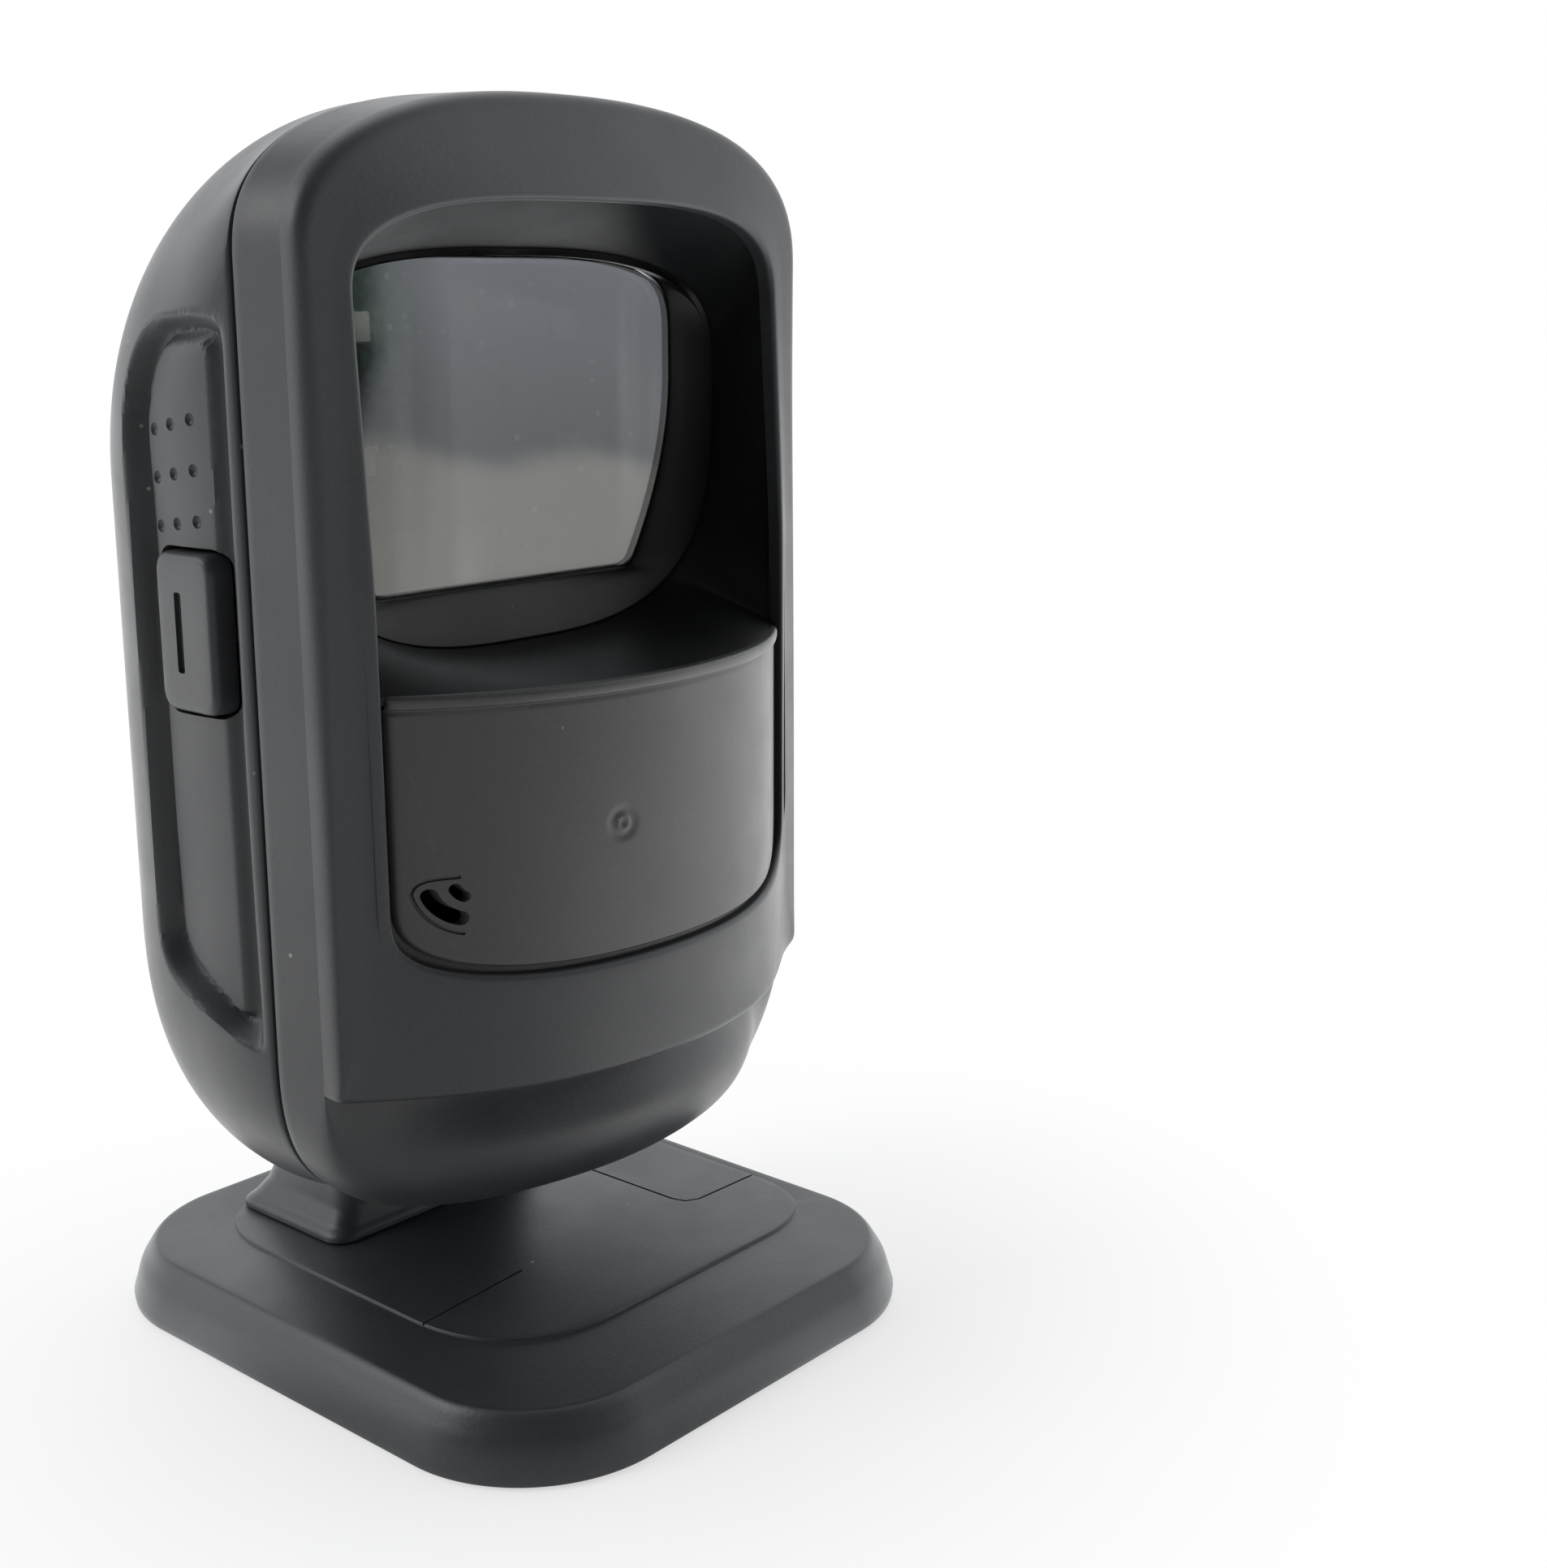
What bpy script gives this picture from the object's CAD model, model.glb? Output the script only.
"""Looks of a presentation scanner on its tilting foot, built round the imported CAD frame.

The foot stands on the floor with +Z up, and the head above it looks towards -Y. The trigger is
on the -X side. Lengths are in millimetres unless said; MM turns them into metres.
"""

import math

import bmesh
import bpy
import numpy as np
from mathutils import Matrix, Vector

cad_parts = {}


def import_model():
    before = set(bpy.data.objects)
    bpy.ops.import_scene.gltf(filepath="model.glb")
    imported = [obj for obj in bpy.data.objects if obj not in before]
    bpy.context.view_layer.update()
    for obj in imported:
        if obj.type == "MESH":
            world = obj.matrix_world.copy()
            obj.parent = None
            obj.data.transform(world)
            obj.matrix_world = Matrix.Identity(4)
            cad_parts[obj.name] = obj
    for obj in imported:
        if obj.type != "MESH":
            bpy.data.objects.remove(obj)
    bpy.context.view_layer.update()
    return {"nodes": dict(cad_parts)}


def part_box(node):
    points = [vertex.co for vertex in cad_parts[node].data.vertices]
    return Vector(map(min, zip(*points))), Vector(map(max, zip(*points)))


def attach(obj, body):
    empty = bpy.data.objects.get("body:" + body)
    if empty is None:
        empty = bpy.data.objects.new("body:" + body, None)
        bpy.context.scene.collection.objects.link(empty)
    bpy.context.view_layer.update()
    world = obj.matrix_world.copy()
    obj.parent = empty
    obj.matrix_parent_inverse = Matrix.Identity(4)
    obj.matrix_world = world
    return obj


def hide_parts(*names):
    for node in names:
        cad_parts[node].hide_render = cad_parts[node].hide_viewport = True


MM = 0.001
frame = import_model()


def node_box(name):
    low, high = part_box(name)
    return np.array(low) / MM, np.array(high) / MM


# ------------------------------------------------------------------ places taken from the frame
front_lo, front_hi = node_box("front_shell")
rear_hi = node_box("rear_shell")[1]
foot_lo, foot_hi = node_box("foot_cover")
neck_lo = node_box("neck")[0]
pin_lo, pin_hi = node_box("tilt_pin")
trig_lo, trig_hi = node_box("trigger_button")
bezel_lo = node_box("window_frame")[0]
glass_hi = node_box("scan_window")[1]

# the head
PART_Y = front_hi[1]  # where the front and rear shells meet
PART_HALF = front_hi[0]
REAR_HALF = rear_hi[0]
HEAD_TOP = rear_hi[2]
HEAD_BOTTOM = front_lo[2] - 3.4
SEAM_BOTTOM = HEAD_BOTTOM + 3.4  # the shells' joint at its lowest
HEAD_MID_Z = 82.0  # sections shrink towards this height
HEAD_REACH = 63.0  # from there to the joint's top and bottom, roughly
# the face
FACE_Y = front_lo[1]
EDGE_Y = FACE_Y + 14.0  # where the bowed face ends at its sides
CREASE_HALF = PART_HALF - 1.2
CREASE_TOP = HEAD_TOP - 0.5
LIP_Z = HEAD_BOTTOM + 21.6
OPEN_HALF = CREASE_HALF - 5.85
OPEN_TOP = HEAD_TOP - 11.7
OPEN_BOTTOM = LIP_Z + 12.7
SHELF_Z = OPEN_BOTTOM + 31.4
SEAM_Y = bezel_lo[1] - 0.3  # where the cavity meets the window frame

# ends of the head's outlines: (height, superellipse power)
OPEN_TOP_CURVE = (11.3, 3.1)
OPEN_LOW_CURVE = (10.4, 4.0)
CREASE_TOP_CURVE = (16.9, 2.4)
CREASE_LOW_CURVE = (2.3, 6.0)
PART_TOP_CURVE = (18.3, 2.6)
PART_LOW_CURVE = (24.3, 3.2)
PART_TOP_START = HEAD_TOP - 18.7
PART_LOW_START = HEAD_BOTTOM + 27.7

# the rear shell narrows from REAR_CENTRE backwards, along a superellipse
REAR_CENTRE = 6.0
REAR_DEPTH = rear_hi[1] - REAR_CENTRE + 0.2
REAR_POWER = 2.6
REAR_TOP_TURN = 21.0  # how far the start of the top's curve sinks behind the joint

# the trigger's paddle in its opening
TRIGGER_MARGIN = 1.2
TRIGGER_GAP = 0.4
TRIGGER_X = trig_lo[0]
TRIGGER_LO = trig_lo[1:] + TRIGGER_MARGIN  # (y, z)
TRIGGER_HI = trig_hi[1:] - TRIGGER_MARGIN

TILT_Y, TILT_Z = ((pin_lo + pin_hi) / 2)[1:]


# ------------------------------------------------------------------ outlines and lofts
def norm(vectors):
    return np.linalg.norm(vectors, axis=-1, keepdims=True)


def smooth(value):
    value = np.clip(value, 0.0, 1.0)
    return value * value * (3 - 2 * value)


def row(x, y, z):
    """Points (x, y, z) from arrays or numbers."""
    x, y, z = np.broadcast_arrays(x, y, z)
    return np.stack([x, y, z], -1).astype(float)


def bend(start, corner, end, t):
    """A point on the quadratic curve that rounds a corner."""
    return (1 - t) ** 2 * start + 2 * t * (1 - t) * corner + t * t * end


def running(steps):
    return np.concatenate([[0], np.cumsum(steps)])


def quarter(half, z0, height, power, angles):
    """A quarter superellipse, from (half, z0) at angle 0 to (0, z0 + height) at 90 degrees."""
    cos, sin = np.clip(np.cos(angles), 0, 1), np.clip(np.sin(angles), 0, 1)
    return np.stack([half * cos ** (2 / power), z0 + height * sin ** (2 / power)], -1)


def even_angles(curves, count):
    """Angles that space points evenly along the mean of (half, height, power) quarters."""
    angles = math.pi / 2 * smooth(np.linspace(0, 1, 8001))
    total = 0
    for half, height, power in curves:
        line = quarter(half, 0, height, power, angles)
        run = running(np.hypot(*np.diff(line, axis=0).T))
        total = total + run / run[-1]
    return np.interp(np.linspace(0, 1, count + 1), total / total[-1], angles)


def outline(half, top, low, spacing):
    """A closed outline as (x, z): over the top from +X to -X, down, under the bottom and back up.

    top and low are (start height, height, power); spacing is (top angles, low angles, side steps).
    """
    top_angles, low_angles, sides = spacing
    low_start, low_height, low_power = low
    top_line = quarter(half, *top, top_angles)
    low_line = quarter(half, low_start, -low_height, low_power, low_angles)
    side_z = low_start + (top[0] - low_start) * np.arange(1, sides) / sides
    side = np.stack([np.full(sides - 1, half), side_z], -1)
    flip = np.array([-1.0, 1.0])
    return np.concatenate([top_line, top_line[::-1][1:] * flip, side[::-1] * flip,
                           low_line * flip, low_line[::-1][1:], side])


def bow(x, z=60.0):
    """The face's y: bowed forward in the middle, flatter at its sides and towards its top."""
    across = np.clip(np.abs(x) / CREASE_HALF, 0, 1)
    rise = np.clip((np.asarray(z, float) - (HEAD_TOP - 52.0)) / 51.0, 0, 1)
    depth = 1 - (np.sqrt(rise * rise + 0.01) - 0.1) / (math.sqrt(1.01) - 0.1)
    return EDGE_Y - (EDGE_Y - FACE_Y) * (1 - across * across) * (1 - 0.9 * across ** 6) * depth


def swept(stations, count=6, most=0.48):
    """Rows through (row, rounding) stations, with a smooth round of that reach at each corner.

    count is the steps in each round; most is the share of a span that a round may take.
    """
    points, roundings = zip(*stations)
    out = [points[0]]
    for i in range(1, len(points) - 1):
        corner, rounding = points[i], roundings[i]
        if np.max(rounding) <= 0:
            out.append(corner)
            continue
        back, ahead = points[i - 1] - corner, points[i + 1] - corner
        back_length, ahead_length = np.maximum(norm(back), 1e-9), np.maximum(norm(ahead), 1e-9)
        reach = np.broadcast_to(np.reshape(rounding, (-1, 1)), back_length.shape)
        start = corner + back / back_length * np.minimum(reach, back_length * most)
        end = corner + ahead / ahead_length * np.minimum(reach, ahead_length * most)
        for t in np.linspace(0, 1, count + 1):
            out.append(bend(start, corner, end, t))
    out.append(points[-1])
    return np.stack(out)


def rounded_polygon(points, roundings, steps=10):
    """A closed 2-D polyline with rounded corners."""
    points = np.array(points, float)
    out = []
    for i, corner in enumerate(points):
        before, after = points[i - 1], points[(i + 1) % len(points)]
        back, ahead = np.linalg.norm(before - corner), np.linalg.norm(after - corner)
        start = corner + (before - corner) / back * min(roundings[i], back * 0.49)
        end = corner + (after - corner) / ahead * min(roundings[i], ahead * 0.49)
        for t in np.linspace(0, 1, steps + 1):
            out.append(bend(start, corner, end, t))
    return np.array(out)


def resample(line, count):
    """Evenly spaced points round a closed polyline."""
    points = np.concatenate([line, line[:1]])
    run = running(np.linalg.norm(np.diff(points, axis=0), axis=1))
    at = np.linspace(0, run[-1], count + 1)[:count]
    return np.stack([np.interp(at, run, points[:, k]) for k in range(points.shape[1])], -1)


def signed_distance(points, contour):
    """Distance from each 2-D point to a closed polyline, positive inside."""
    px, py = points[:, 0], points[:, 1]
    nearest = np.full(len(points), 1e9)
    inside = np.zeros(len(points), bool)
    for (ax, ay), (bx, by) in zip(contour, np.roll(contour, -1, axis=0)):
        dx, dy = bx - ax, by - ay
        length2 = dx * dx + dy * dy
        if length2 < 1e-12:
            continue
        t = np.clip(((px - ax) * dx + (py - ay) * dy) / length2, 0, 1)
        nearest = np.minimum(nearest, np.hypot(px - ax - t * dx, py - ay - t * dy))
        if ay != by:
            crossing = ((ay > py) != (by > py)) & (px < (bx - ax) * (py - ay) / (by - ay) + ax)
            inside ^= crossing
    return np.where(inside, nearest, -nearest)


def mirrored(half):
    """Closed loops from +X halves that run from the top middle to the bottom middle."""
    other = half[..., ::-1, :][..., 1:-1, :].copy()
    other[..., 0] *= -1
    return np.concatenate([half, other], axis=-2)


# ------------------------------------------------------------------ meshes and modifiers
def new_object(name, mesh):
    obj = bpy.data.objects.new(name, mesh)
    bpy.context.scene.collection.objects.link(obj)
    return obj


def object_from(name, bm):
    mesh = bpy.data.meshes.new(name)
    bm.to_mesh(mesh)
    bm.free()
    return new_object(name, mesh)


def finish_mesh(obj, sharp):
    """Smooth shading, with edges over the given angle in degrees left sharp."""
    obj.data.shade_smooth()
    obj.data.set_sharp_from_angle(angle=math.radians(sharp))
    return obj


def surface(name, rows, closed=True, centre=(0, 2, 85), away=True, sharp=38.0,
            cap_ends=(False, False)):
    """A mesh through rows of points; its faces look away from centre, or towards it."""
    count, columns = rows.shape[:2]
    index = np.arange(count * columns).reshape(count, columns)
    after = np.roll(index, -1, axis=1) if closed else index[:, 1:]
    here = index if closed else index[:, :-1]
    faces = np.stack([here[:-1], after[:-1], after[1:], here[1:]], -1).reshape(-1, 4).tolist()
    if cap_ends[0]:
        faces.append(index[0][::-1].tolist())
    if cap_ends[1]:
        faces.append(index[-1].tolist())
    mesh = bpy.data.meshes.new(name)
    mesh.from_pydata((rows.reshape(-1, 3) * MM).tolist(), [], faces)
    bm = bmesh.new()
    bm.from_mesh(mesh)
    bmesh.ops.remove_doubles(bm, verts=bm.verts[:], dist=2e-6)
    bmesh.ops.dissolve_degenerate(bm, dist=1e-6, edges=bm.edges[:])
    bmesh.ops.recalc_face_normals(bm, faces=bm.faces[:])
    middle = Vector(centre) * MM
    outward = sum((face.calc_center_median() - middle).dot(face.normal) * face.calc_area()
                  for face in bm.faces)
    if (outward < 0) == away:
        bmesh.ops.reverse_faces(bm, faces=bm.faces[:])
    bm.to_mesh(mesh)
    bm.free()
    return finish_mesh(new_object(name, mesh), sharp)


def bake(obj, sharp=38.0):
    """Makes the object's modifiers real."""
    graph = bpy.context.evaluated_depsgraph_get()
    mesh = bpy.data.meshes.new_from_object(obj.evaluated_get(graph))
    obj.modifiers.clear()
    old = obj.data
    obj.data = mesh
    bpy.data.meshes.remove(old)
    return finish_mesh(obj, sharp)


def wall(obj, thickness):
    """Thickens a surface on the side its faces look away from."""
    modifier = obj.modifiers.new("wall", "SOLIDIFY")
    modifier.thickness = thickness * MM
    modifier.offset = -1.0
    modifier.use_even_offset = False
    modifier.use_quality_normals = True
    return bake(obj)


def cut(obj, *cutters, sharp=38.0):
    """Cuts the cutters out of the object and removes them."""
    for cutter in cutters:
        modifier = obj.modifiers.new("cut", "BOOLEAN")
        modifier.operation = "DIFFERENCE"
        modifier.solver = "EXACT"
        modifier.object = cutter
    bake(obj, sharp)
    for cutter in cutters:
        bpy.data.objects.remove(cutter)
    return obj


def block(name, low, high, bevel, segments=4):
    """A bevelled block, used as a cutter."""
    bm = bmesh.new()
    bmesh.ops.create_cube(bm, size=1.0)
    low, high = np.array(low, float), np.array(high, float)
    bmesh.ops.scale(bm, vec=Vector((high - low) * MM), verts=bm.verts[:])
    bmesh.ops.bevel(bm, geom=bm.edges[:], offset=bevel * MM, segments=segments, profile=0.5,
                    affect="EDGES", clamp_overlap=True)
    bm.transform(Matrix.Translation(Vector((low + high) / 2) * MM))
    return object_from(name, bm)


# ------------------------------------------------------------------ shader building
def scaled(colour, factor):
    return tuple(channel * factor for channel in colour)


class Shader:
    """A cleared node tree. add gives the new node; the other ways give its output socket."""

    def __init__(self, owner, output="OutputMaterial"):
        owner.use_nodes = True
        self.tree = owner.node_tree
        self.tree.nodes.clear()
        self.output = self.add(output)

    def feed(self, socket, value):
        """Links an output socket to an input, or sets the input's value; colours are RGB."""
        if isinstance(value, bpy.types.NodeSocket):
            self.tree.links.new(value, socket)
        else:
            socket.default_value = (*value, 1.0) if socket.type == "RGBA" else value

    def add(self, kind, inputs=None, **settings):
        node = self.tree.nodes.new("ShaderNode" + kind)
        for key, value in settings.items():
            setattr(node, key, value)
        for key, value in (inputs or {}).items():
            self.feed(node.inputs[key], value)
        return node

    def show(self, socket):
        self.feed(self.output.inputs[0], socket)

    def coords(self, kind="Object"):
        return self.add("TexCoord").outputs[kind]

    def math(self, operation, first, second, clamp=False):
        return self.add("Math", {0: first, 1: second}, operation=operation,
                        use_clamp=clamp).outputs[0]

    def dot(self, vector, other):
        node = self.add("VectorMath", {0: vector, 1: other}, operation="DOT_PRODUCT")
        return node.outputs["Value"]

    def unit(self, vector):
        return self.add("VectorMath", {0: vector}, operation="NORMALIZE").outputs[0]

    def remap(self, value, span, to=(0.0, 1.0), kind="SMOOTHSTEP"):
        inputs = {"Value": value, "From Min": span[0], "From Max": span[1],
                  "To Min": to[0], "To Max": to[1]}
        return self.add("MapRange", inputs, interpolation_type=kind).outputs[0]

    def mix(self, factor, first, second, kind="RGBA"):
        inputs = {"Factor": factor, "A": first, "B": second}
        return self.add("Mix", inputs, data_type=kind).outputs["Result"]

    def mix_shader(self, factor, first, second):
        return self.add("MixShader", {0: factor, 1: first, 2: second}).outputs[0]

    def noise(self, coords, scale, detail, rough=0.5):
        inputs = {"Scale": scale, "Detail": detail, "Roughness": rough, "Vector": coords}
        return self.add("TexNoise", inputs).outputs["Fac"]

    def bump(self, height, strength, distance):
        inputs = {"Strength": strength, "Distance": distance, "Height": height}
        return self.add("Bump", inputs).outputs[0]

    def split_xyz(self, vector):
        return self.add("SeparateXYZ", {0: vector}).outputs

    def cells(self, coords, scale, **settings):
        """Voronoi cells: the distance to a cell's point, and a random value for the cell."""
        node = self.add("TexVoronoi", {"Scale": scale, "Vector": coords}, **settings)
        split = self.add("SeparateColor", {0: node.outputs["Color"]})
        return node.outputs["Distance"], split.outputs[0]


def new_material(name):
    material = bpy.data.materials.new(name)
    return material, Shader(material)


def principled(name, **inputs):
    """A material with one Principled shader, and coordinates to texture it by."""
    material, shader = new_material(name)
    bsdf = shader.add("BsdfPrincipled", inputs)
    shader.show(bsdf.outputs[0])
    return material, shader, bsdf.inputs, shader.coords()


# ------------------------------------------------------------------ materials
def moulded(name, base, rough=0.45, grain=1.0, dust=0.5, wear=0.5, spec=0.5, mottled=0.1,
            coated=False):
    """Spark-textured moulded plastic: fine grain, uneven sheen, rubbed edges, a few specks."""
    material, shader, bsdf, coords = principled(name)
    # broad unevenness, then fine pigment
    broad = shader.noise(coords, scale=38.0, detail=4.0, rough=0.6)
    pigment = shader.noise(coords, scale=2400.0, detail=2.0)
    colour = shader.mix(shader.remap(broad, span=(0.3, 0.7)),
                        scaled(base, 1 - mottled), scaled(base, 1 + mottled))
    colour = shader.mix(shader.remap(pigment, span=(0.35, 0.75), to=(0.0, 0.25)),
                        colour, scaled(base, 1.6))
    # edges rubbed paler, in patches
    pointiness = shader.add("NewGeometry").outputs["Pointiness"]
    edge = shader.remap(pointiness, span=(0.505, 0.56), to=(0.0, 0.35 * wear))
    patches = shader.noise(coords, scale=420.0, detail=4.0, rough=0.7)
    edge = shader.math("MULTIPLY", edge, shader.remap(patches, span=(0.4, 0.65)))
    rubbed = tuple(min(channel * 3.2 + 0.02, 1) for channel in base)
    colour = shader.mix(edge, colour, rubbed)
    if dust:
        distance, chance = shader.cells(coords, scale=210.0)
        near = shader.remap(distance, span=(0.02, 0.075), to=(1.0, 0.0))
        few = shader.math("GREATER_THAN", chance, 0.87)
        speck = shader.math("MULTIPLY", shader.math("MULTIPLY", near, few), dust)
        colour = shader.mix(speck, colour, (0.35, 0.36, 0.36))
    shader.feed(bsdf["Base Color"], colour)
    uneven = shader.noise(coords, scale=75.0, detail=5.0, rough=0.6)
    sheen = shader.remap(uneven, span=(0.3, 0.7), to=(rough - 0.045, rough + 0.055), kind="LINEAR")
    shader.feed(bsdf["Roughness"], sheen)
    bsdf["Specular IOR Level"].default_value = spec
    if coated:
        bsdf["Coat Weight"].default_value = 1.0
        bsdf["Coat Roughness"].default_value = 0.03
    # grain: two sizes of pit
    coarse = shader.noise(coords, scale=1700.0, detail=3.0, rough=0.6)
    fine = shader.noise(coords, scale=4200.0, detail=2.0)
    height = shader.math("ADD", shader.math("MULTIPLY", coarse, 0.65),
                         shader.math("MULTIPLY", fine, 0.35))
    shader.feed(bsdf["Normal"], shader.bump(height, strength=0.55 * grain, distance=0.00005))
    return material


def emitter_lens(name, base):
    """Smooth plastic under a clear coat."""
    return moulded(name, base, rough=0.12, grain=0.0, dust=0.0, wear=0.0, spec=0.8, mottled=0.15,
                   coated=True)


def metal(name, base, rough=0.32):
    """Brushed metal, with streaks squeezed along Z."""
    material, shader, bsdf, coords = principled(name, Metallic=1.0)
    mapping = shader.add("Mapping", {"Scale": (1.0, 1.0, 30.0), "Vector": coords})
    streak = shader.noise(mapping.outputs[0], scale=260.0, detail=5.0, rough=0.65)
    colour = shader.mix(shader.remap(streak, span=(0.3, 0.7)), scaled(base, 0.82), base)
    shader.feed(bsdf["Base Color"], colour)
    sheen = shader.remap(streak, span=(0.3, 0.7), to=(rough - 0.07, rough + 0.1), kind="LINEAR")
    shader.feed(bsdf["Roughness"], sheen)
    shader.feed(bsdf["Normal"], shader.bump(streak, strength=0.2, distance=0.00003))
    return material


def circuit(name):
    """A green circuit board: solder mask over traces, with square pads."""
    material, shader, bsdf, coords = principled(name, Roughness=0.38)
    distance, chance = shader.cells(coords, scale=420.0, distance="CHEBYCHEV")
    trace = shader.noise(coords, scale=900.0, detail=2.0, rough=0.4)
    colour = shader.mix(shader.remap(trace, span=(0.48, 0.54)),
                        (0.010, 0.030, 0.020), (0.028, 0.070, 0.045))
    pads = shader.remap(distance, span=(0.12, 0.16), to=(1.0, 0.0))
    pads = shader.math("MULTIPLY", pads, shader.math("GREATER_THAN", chance, 0.55))
    shader.feed(bsdf["Base Color"], shader.mix(pads, colour, (0.5, 0.52, 0.46)))
    shader.feed(bsdf["Metallic"], shader.math("MULTIPLY", pads, 0.8))
    shader.feed(bsdf["Normal"], shader.bump(pads, strength=0.4, distance=0.0001))
    return material


def tinted_glass(name):
    """The coated scan window: part mirror, part clear, with faint smears in its reflection."""
    material, shader = new_material(name)
    coords = shader.coords()
    clear = shader.add("BsdfTransparent", {"Color": (0.80, 0.82, 0.82)})
    smear = shader.noise(coords, scale=60.0, detail=5.0, rough=0.6)
    haze = shader.add("BsdfDiffuse", {"Color": (0.30, 0.30, 0.30)})
    # The front's normal turns across the width as on a slightly hollow pane, so that it mirrors
    # the space in front and not its own walls. The span is in metres.
    lean = shader.remap(shader.split_xyz(coords)["X"], span=(-0.029, 0.029), to=(-0.06, -0.36),
                        kind="LINEAR")
    ripple = shader.noise(coords, scale=22.0, detail=1.0, rough=0.4)
    wave = shader.math("MULTIPLY", shader.math("SUBTRACT", ripple, 0.5), 0.05)
    hollow = shader.unit(shader.add("CombineXYZ", {"X": lean, "Y": -1.0, "Z": wave}).outputs[0])
    geometry = shader.add("NewGeometry").outputs
    facing = shader.dot(geometry["True Normal"], (0, -1, 0))
    front = shader.math("GREATER_THAN", facing, 0.985)
    normal = shader.mix(front, geometry["Normal"], hollow, kind="VECTOR")
    gloss_rough = shader.remap(smear, span=(0.3, 0.8), to=(0.015, 0.075), kind="LINEAR")
    gloss = shader.add("BsdfGlossy", {"Roughness": gloss_rough, "Color": (0.95, 0.95, 0.96),
                                      "Normal": normal})
    fresnel = shader.add("Fresnel", {"IOR": 1.52}).outputs[0]
    strength = shader.math("ADD", shader.math("MULTIPLY", fresnel, 1.6), 0.16, clamp=True)
    film = shader.mix_shader(shader.remap(smear, span=(0.35, 0.75), to=(0.0, 0.05)),
                             clear.outputs[0], haze.outputs[0])
    shader.show(shader.mix_shader(strength, film, gloss.outputs[0]))
    return material


SHELL = moulded("shell_charcoal", (0.0225, 0.0242, 0.0264), dust=0.55, wear=0.1, spec=0.46)
PANEL = moulded("panel_charcoal", (0.031, 0.0315, 0.032), rough=0.44, dust=0.7, wear=0.25)
CAVITY = moulded("cavity_black", (0.0058, 0.0064, 0.0072), rough=0.42, grain=0.7, dust=0.12,
                 wear=0.2, spec=0.20)
BLACK = moulded("moulded_black", (0.0055, 0.006, 0.0066), rough=0.36, grain=0.6, dust=0.08,
                wear=0.3, spec=0.22)
FOOT = moulded("foot_charcoal", (0.024, 0.027, 0.032), rough=0.42, dust=0.7, wear=0.9)
RUBBER = moulded("soft_rubber", (0.012, 0.012, 0.012), rough=0.75, grain=1.6, dust=0.4, wear=0.2)
CONE = moulded("paper_cone", (0.03, 0.03, 0.03), rough=0.8, grain=1.8, dust=0.0, wear=0.0)
IVORY = moulded("ivory_plastic", (0.42, 0.38, 0.30), rough=0.42, grain=0.4, dust=0.0, wear=0.2)
FLAT = moulded("flat_cable_film", (0.55, 0.50, 0.38), rough=0.35, grain=0.3, dust=0.0, wear=0.0)
STEEL = metal("zinc_steel", (0.58, 0.59, 0.60))
GOLD = metal("gold_contact", (0.83, 0.62, 0.26), rough=0.25)
BOARD = circuit("circuit_board")
GLASS = tinted_glass("scan_window_glass")
LENS = emitter_lens("coated_lens", (0.010, 0.012, 0.03))
RED = emitter_lens("red_emitter", (0.35, 0.02, 0.015))
PALE = emitter_lens("pale_emitter", (0.30, 0.31, 0.27))


def dress(obj, material):
    obj.data.materials.clear()
    obj.data.materials.append(material)


def place(obj, material, body, stands_for):
    """Gives a piece its material, the body it rides on and the part it replaces."""
    dress(obj, material)
    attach(obj, body)
    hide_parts(stands_for)


# ------------------------------------------------------------------ front shell
def part_rim(section, inset, y):
    """The shells' joint outline, drawn in by an inset, at the given y."""
    return row(section[:, 0] * (1 - inset / PART_HALF), y,
               HEAD_MID_Z + (section[:, 1] - HEAD_MID_Z) * (1 - inset / HEAD_REACH))


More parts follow.
